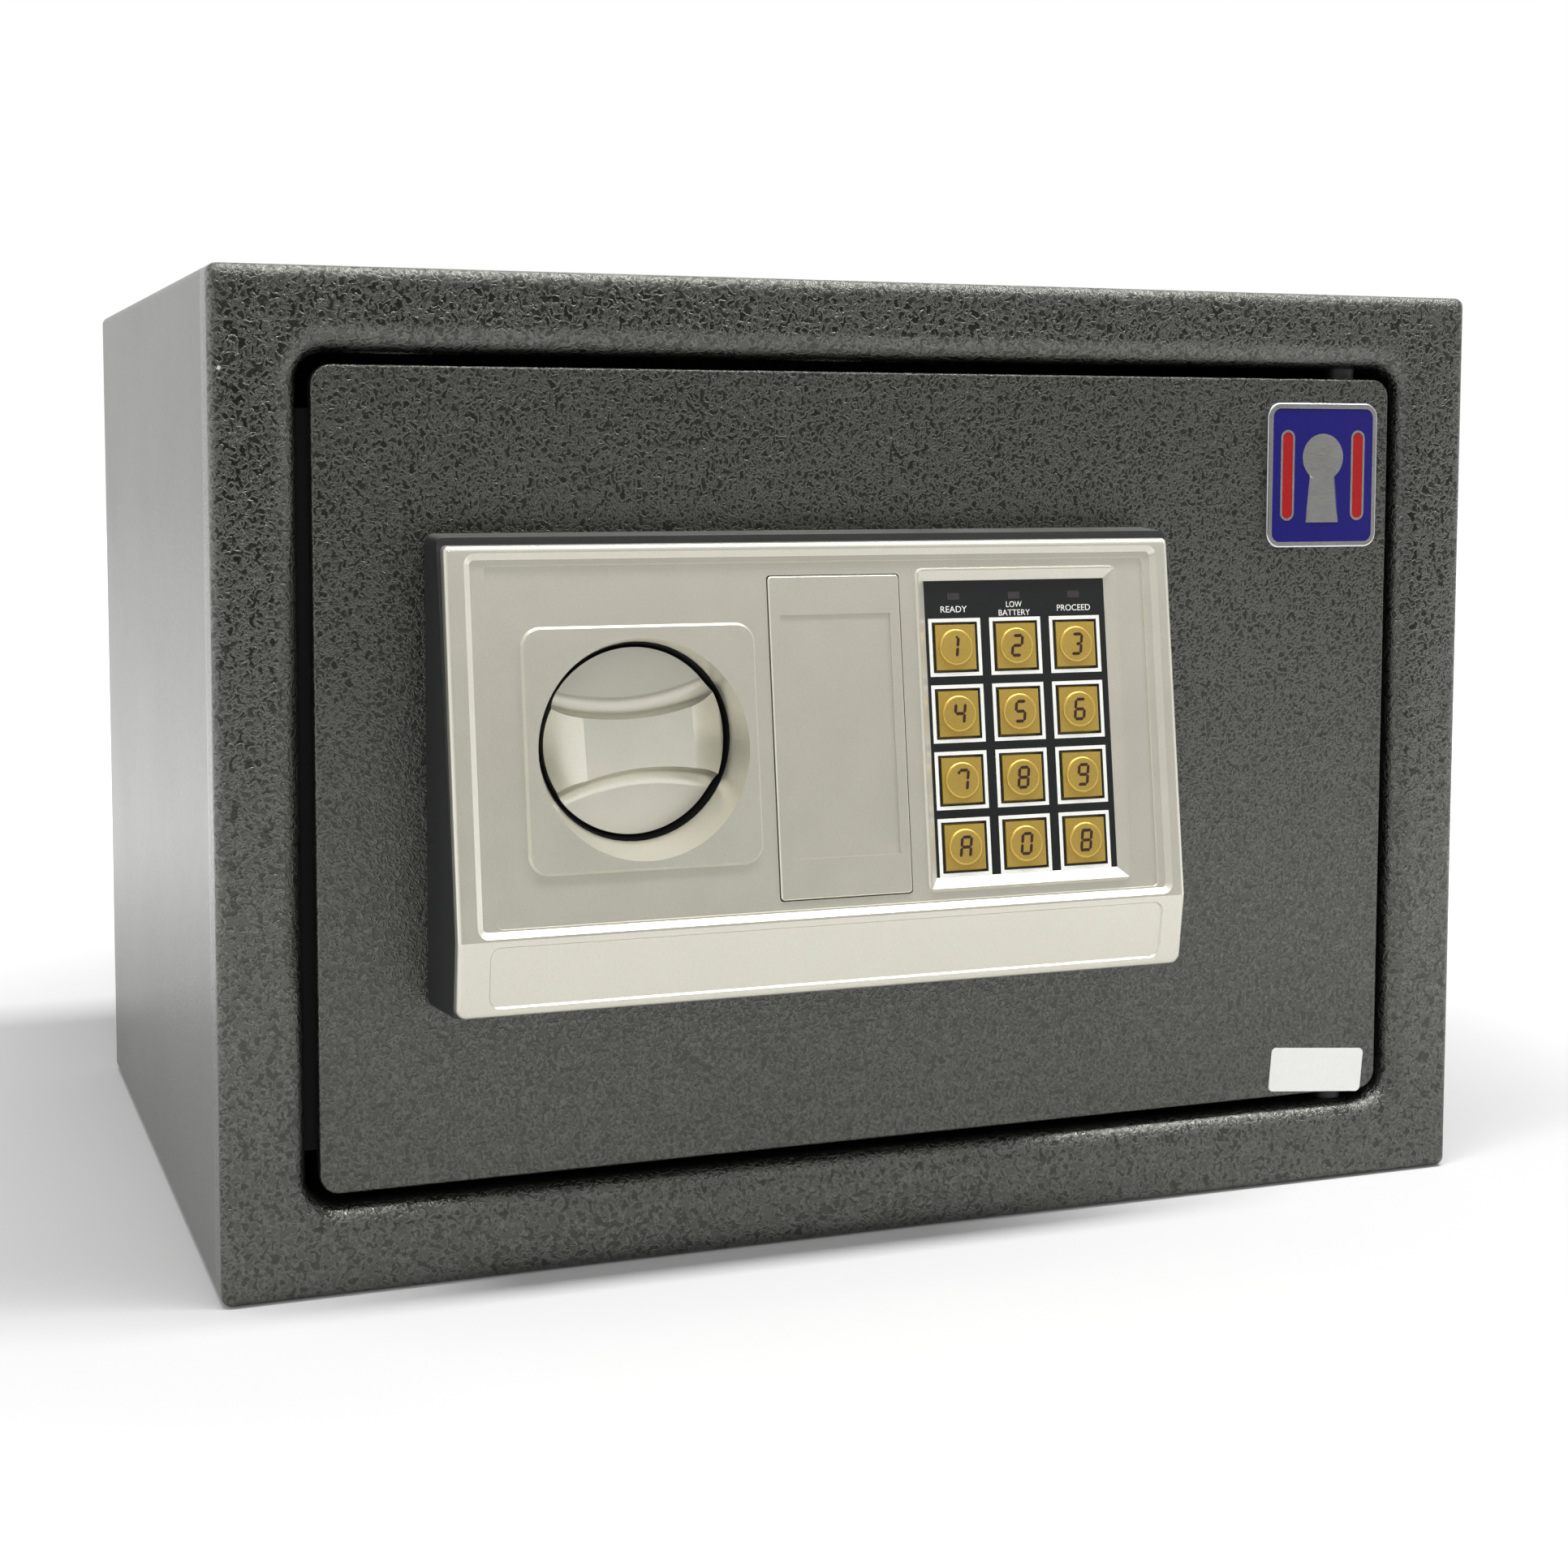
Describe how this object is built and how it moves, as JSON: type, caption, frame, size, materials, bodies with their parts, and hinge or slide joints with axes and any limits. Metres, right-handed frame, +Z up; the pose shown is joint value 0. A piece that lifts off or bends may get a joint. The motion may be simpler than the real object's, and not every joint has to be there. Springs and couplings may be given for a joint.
{
  "type": "electronic home safe",
  "caption": "Small dark grey steel home safe with a silver keypad and knob panel on a right-hinged door, sliding bolts, emergency lock and battery box.",
  "frame": {"origin": "centre of the bottom of the steel body", "axes": "+X to the right of someone facing the door, +Y from the door into the safe, +Z up"},
  "size_m": [0.35, 0.2744, 0.25],
  "materials": {
    "body_paint": "dark grey hammer-textured powder coat, satin",
    "felt": "grey needle felt",
    "nylon": "black nylon, matte",
    "bright_steel": "zinc plated, bright",
    "raw_steel": "zinc plated sheet, satin",
    "dark_plastic": "moulded, fine matte",
    "silver_plastic": "warm silver paint on moulded plastic, satin",
    "lamp_lens": "dark tinted lens, polished",
    "silicone": "soft, matte",
    "circuit_board": "green solder mask",
    "gold_keys": "gold coloured, satin",
    "red_plastic": "moulded, glossy",
    "cell_wrap": "printed wrap, glossy",
    "badge_metal": "polished rim, blue enamel field",
    "label_paper": "white coated paper, blank"
  },
  "bodies": {
    "safe_body": {"front_frame": "body_paint", "body_shell": "body_paint", "back_panel": "body_paint", "stop_strip": "dark_plastic", "floor_mat": "felt", "hinge_washers": "nylon"},
    "door": {"door_plate": "body_paint", "hinge_blocks": "raw_steel", "hinge_pins": "bright_steel", "panel_housing": "dark_plastic", "fascia": "silver_plastic", "bolt_guide": "raw_steel", "solenoid": "raw_steel", "lock_body": "bright_steel", "lock_nut": "bright_steel", "keypad_face": "dark_plastic", "status_lamps": "lamp_lens", "key_mat": "silicone", "key_board": "circuit_board", "inner_cover": "body_paint", "cover_posts": "raw_steel", "cover_screws": "bright_steel", "panel_screws": "bright_steel", "main_board": "circuit_board", "standoffs": "bright_steel", "board_parts": "raw_steel", "buzzer": "dark_plastic", "reset_switch": "dark_plastic", "battery_box": "dark_plastic", "battery_cells": "cell_wrap", "panel_lead": "silicone", "badge_plate": "badge_metal", "blank_label": "label_paper"},
    "knob_set": {"knob": "silver_plastic", "knob_shaft": "bright_steel", "crank_plate": "raw_steel", "crank_pin": "bright_steel"},
    "bolt_set": {"bolt_carriage": "raw_steel", "locking_bolts": "bright_steel", "bolt_screws": "bright_steel"},
    "plunger_set": {"plunger": "bright_steel", "plunger_spring": "bright_steel"},
    "lock_set": {"lock_plug": "bright_steel", "lock_cam": "raw_steel"},
    "cover_set": {"lock_cover": "silver_plastic"},
    "battery_lid": {"battery_cover": "dark_plastic"},
    "button_set": {"reset_button": "red_plastic"},
    "keycap_1": {"key_1": "gold_keys"},
    "keycap_2": {"key_2": "gold_keys"},
    "keycap_3": {"key_3": "gold_keys"},
    "keycap_4": {"key_4": "gold_keys"},
    "keycap_5": {"key_5": "gold_keys"},
    "keycap_6": {"key_6": "gold_keys"},
    "keycap_7": {"key_7": "gold_keys"},
    "keycap_8": {"key_8": "gold_keys"},
    "keycap_9": {"key_9": "gold_keys"},
    "keycap_a": {"key_a": "gold_keys"},
    "keycap_0": {"key_0": "gold_keys"},
    "keycap_b": {"key_b": "gold_keys"}
  },
  "joints": [
    {"name": "door_swing", "type": "hinge", "parent": "safe_body", "child": "door", "pos_m": [0.1395, -0.116, 0.1259], "axis": [0, 0, 1], "range_deg": [0, 100]},
    {"name": "knob_turn", "type": "hinge", "parent": "door", "child": "knob_set", "pos_m": [-0.0738, -0.132, 0.13465], "axis": [0, -1, 0], "range_deg": [0, 90]},
    {"name": "bolt_throw", "type": "slide", "parent": "door", "child": "bolt_set", "axis": [-1, 0, 0], "range_m": [0, 0.018]},
    {"name": "plunger_lift", "type": "slide", "parent": "door", "child": "plunger_set", "axis": [0, 0, 1], "range_m": [0, 0.004], "deforming": ["plunger_spring"]},
    {"name": "lock_turn", "type": "hinge", "parent": "door", "child": "lock_set", "pos_m": [-0.02225, -0.1365, 0.1352], "axis": [0, -1, 0], "range_deg": [0, 90]},
    {"name": "cover_pull", "type": "slide", "parent": "door", "child": "cover_set", "axis": [0, -0.9913, 0.1313], "range_m": [0, 0.03]},
    {"name": "battery_cover_slide", "type": "slide", "parent": "door", "child": "battery_lid", "axis": [0, 0, 1], "range_m": [0, 0.06]},
    {"name": "reset_press", "type": "slide", "parent": "door", "child": "button_set", "axis": [0, -1, 0], "range_m": [0, 0.001], "stiffness_N_per_m": 800, "springref_m": -0.0006},
    {"name": "key_1_press", "type": "slide", "parent": "door", "child": "keycap_1", "axis": [0, 0.9913, -0.1313], "range_m": [0, 0.0008], "stiffness_N_per_m": 1000, "springref_m": -0.0005},
    {"name": "key_2_press", "type": "slide", "parent": "door", "child": "keycap_2", "axis": [0, 0.9913, -0.1313], "range_m": [0, 0.0008], "stiffness_N_per_m": 1000, "springref_m": -0.0005},
    {"name": "key_3_press", "type": "slide", "parent": "door", "child": "keycap_3", "axis": [0, 0.9913, -0.1313], "range_m": [0, 0.0008], "stiffness_N_per_m": 1000, "springref_m": -0.0005},
    {"name": "key_4_press", "type": "slide", "parent": "door", "child": "keycap_4", "axis": [0, 0.9913, -0.1313], "range_m": [0, 0.0008], "stiffness_N_per_m": 1000, "springref_m": -0.0005},
    {"name": "key_5_press", "type": "slide", "parent": "door", "child": "keycap_5", "axis": [0, 0.9913, -0.1313], "range_m": [0, 0.0008], "stiffness_N_per_m": 1000, "springref_m": -0.0005},
    {"name": "key_6_press", "type": "slide", "parent": "door", "child": "keycap_6", "axis": [0, 0.9913, -0.1313], "range_m": [0, 0.0008], "stiffness_N_per_m": 1000, "springref_m": -0.0005},
    {"name": "key_7_press", "type": "slide", "parent": "door", "child": "keycap_7", "axis": [0, 0.9913, -0.1313], "range_m": [0, 0.0008], "stiffness_N_per_m": 1000, "springref_m": -0.0005},
    {"name": "key_8_press", "type": "slide", "parent": "door", "child": "keycap_8", "axis": [0, 0.9913, -0.1313], "range_m": [0, 0.0008], "stiffness_N_per_m": 1000, "springref_m": -0.0005},
    {"name": "key_9_press", "type": "slide", "parent": "door", "child": "keycap_9", "axis": [0, 0.9913, -0.1313], "range_m": [0, 0.0008], "stiffness_N_per_m": 1000, "springref_m": -0.0005},
    {"name": "key_a_press", "type": "slide", "parent": "door", "child": "keycap_a", "axis": [0, 0.9913, -0.1313], "range_m": [0, 0.0008], "stiffness_N_per_m": 1000, "springref_m": -0.0005},
    {"name": "key_0_press", "type": "slide", "parent": "door", "child": "keycap_0", "axis": [0, 0.9913, -0.1313], "range_m": [0, 0.0008], "stiffness_N_per_m": 1000, "springref_m": -0.0005},
    {"name": "key_b_press", "type": "slide", "parent": "door", "child": "keycap_b", "axis": [0, 0.9913, -0.1313], "range_m": [0, 0.0008], "stiffness_N_per_m": 1000, "springref_m": -0.0005}
  ],
  "couplings": [
    {"joint": "knob_turn", "follows": "bolt_throw", "rad_per_m": 87.266},
    {"joint": "plunger_lift", "follows": "bolt_throw", "ratio": 0.22222}
  ]
}
